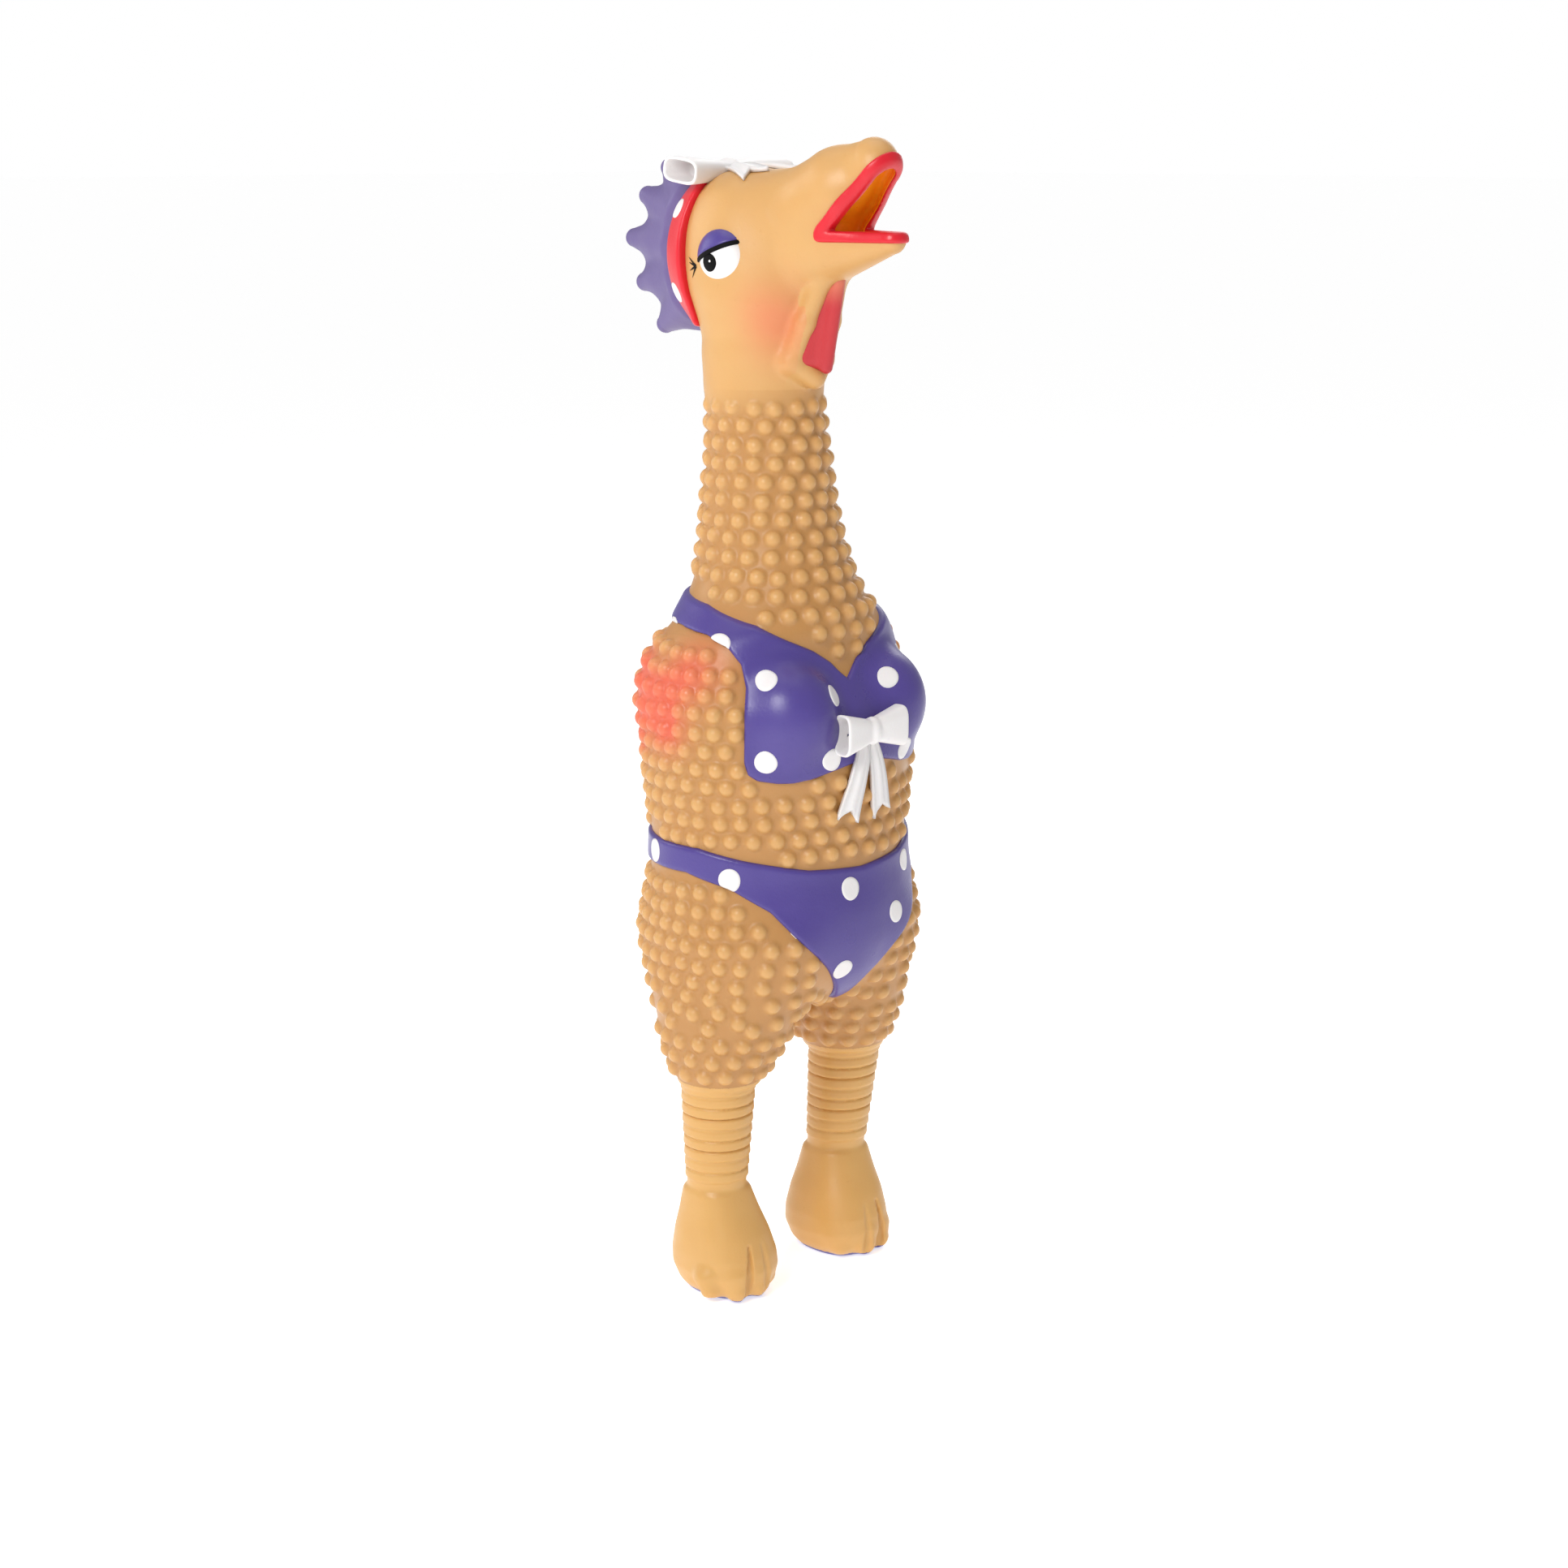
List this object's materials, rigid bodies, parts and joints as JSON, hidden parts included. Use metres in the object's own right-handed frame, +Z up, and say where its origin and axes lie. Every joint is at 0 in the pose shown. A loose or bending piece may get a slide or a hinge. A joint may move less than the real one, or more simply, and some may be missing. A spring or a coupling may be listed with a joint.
{
  "type": "rubber chicken",
  "caption": "Standing hollow latex rubber chicken with an open beak, bumpy skin, moulded two-piece swimsuit, bows and ribbed legs, with a reed squeaker in its throat.",
  "frame": {"origin": "middle of the toy's bounding box on the surface that it stands on", "axes": "+Z up, -Y the way the beak points, +X the toy's left side"},
  "size_m": [0.109, 0.1379, 0.421],
  "materials": {
    "latex_skin": "satin natural latex, tan",
    "latex_leg": "satin natural latex, yellower",
    "purple_paint": "smooth satin latex paint",
    "comb_paint": "smooth satin latex paint, greyer",
    "red_paint": "glossy latex paint",
    "white_paint": "satin latex paint",
    "orange_paint": "glossy latex paint",
    "squeaker_plastic": "plain moulded plastic"
  },
  "bodies": {
    "torso": {"torso_skin": "latex_skin", "bikini_top": "purple_paint", "bikini_bottom": "purple_paint", "chest_bow": "white_paint"},
    "wing_right_body": {"wing_right": "latex_skin"},
    "wing_left_body": {"wing_left": "latex_skin"},
    "neck": {"neck_skin": "latex_skin"},
    "head": {"head_skin": "latex_skin", "headband": "red_paint", "comb": "comb_paint", "head_bow": "white_paint", "eye_right": "white_paint", "eye_left": "white_paint", "eyelid_right": "purple_paint", "eyelid_left": "purple_paint", "upper_lip": "red_paint", "upper_mouth_lining": "orange_paint", "wattle": "red_paint", "squeaker_housing": "squeaker_plastic", "squeaker_ring": "squeaker_plastic", "reed_holder": "squeaker_plastic"},
    "reed": {"reed_tongue": "squeaker_plastic"},
    "jaw": {"lower_beak": "latex_skin", "lower_lip": "red_paint", "lower_mouth_lining": "orange_paint"},
    "thigh_right_body": {"thigh_right": "latex_skin"},
    "thigh_left_body": {"thigh_left": "latex_skin"},
    "shank_right_body": {"shank_right": "latex_leg"},
    "shank_left_body": {"shank_left": "latex_leg"},
    "foot_right_body": {"foot_right": "latex_leg", "sole_right": "purple_paint"},
    "foot_left_body": {"foot_left": "latex_leg", "sole_left": "purple_paint"}
  },
  "joints": [
    {"name": "squeeze_right", "type": "slide", "parent": "torso", "child": "wing_right_body", "axis": [1, 0, 0], "range_m": [0, 0.008], "stiffness_N_per_m": 900},
    {"name": "squeeze_left", "type": "slide", "parent": "torso", "child": "wing_left_body", "axis": [-1, 0, 0], "range_m": [0, 0.008], "stiffness_N_per_m": 900},
    {"name": "neck_bend", "type": "hinge", "parent": "torso", "child": "neck", "pos_m": [0, -0.007, 0.258], "axis": [1, 0, 0], "range_deg": [-20, 20], "stiffness_Nm_per_rad": 4},
    {"name": "head_nod", "type": "hinge", "parent": "neck", "child": "head", "pos_m": [0, 0.001, 0.335], "axis": [1, 0, 0], "range_deg": [-12, 15], "stiffness_Nm_per_rad": 3},
    {"name": "beak_close", "type": "hinge", "parent": "head", "child": "jaw", "pos_m": [0, -0.037, 0.392], "axis": [-1, 0, 0], "range_deg": [-5, 36], "stiffness_Nm_per_rad": 0.3},
    {"name": "reed_flex", "type": "hinge", "parent": "head", "child": "reed", "pos_m": [0, -0.0024, 0.3925], "axis": [-1, 0, 0], "range_deg": [-1, 6], "stiffness_Nm_per_rad": 0.002},
    {"name": "hip_right", "type": "hinge", "parent": "torso", "child": "thigh_right_body", "pos_m": [-0.029, -0.007, 0.113], "axis": [1, 0, 0], "range_deg": [-28, 28], "stiffness_Nm_per_rad": 6},
    {"name": "knee_right", "type": "hinge", "parent": "thigh_right_body", "child": "shank_right_body", "pos_m": [-0.034, -0.007, 0.081], "axis": [1, 0, 0], "range_deg": [-25, 30], "stiffness_Nm_per_rad": 6},
    {"name": "ankle_right", "type": "hinge", "parent": "shank_right_body", "child": "foot_right_body", "pos_m": [-0.032, -0.007, 0.041], "axis": [1, 0, 0], "range_deg": [-25, 25], "stiffness_Nm_per_rad": 6},
    {"name": "hip_left", "type": "hinge", "parent": "torso", "child": "thigh_left_body", "pos_m": [0.029, -0.007, 0.113], "axis": [1, 0, 0], "range_deg": [-28, 28], "stiffness_Nm_per_rad": 6},
    {"name": "knee_left", "type": "hinge", "parent": "thigh_left_body", "child": "shank_left_body", "pos_m": [0.034, -0.007, 0.081], "axis": [1, 0, 0], "range_deg": [-25, 30], "stiffness_Nm_per_rad": 6},
    {"name": "ankle_left", "type": "hinge", "parent": "shank_left_body", "child": "foot_left_body", "pos_m": [0.032, -0.007, 0.041], "axis": [1, 0, 0], "range_deg": [-25, 25], "stiffness_Nm_per_rad": 6}
  ],
  "couplings": [
    {"joint": "squeeze_left", "follows": "squeeze_right", "ratio": 1}
  ]
}
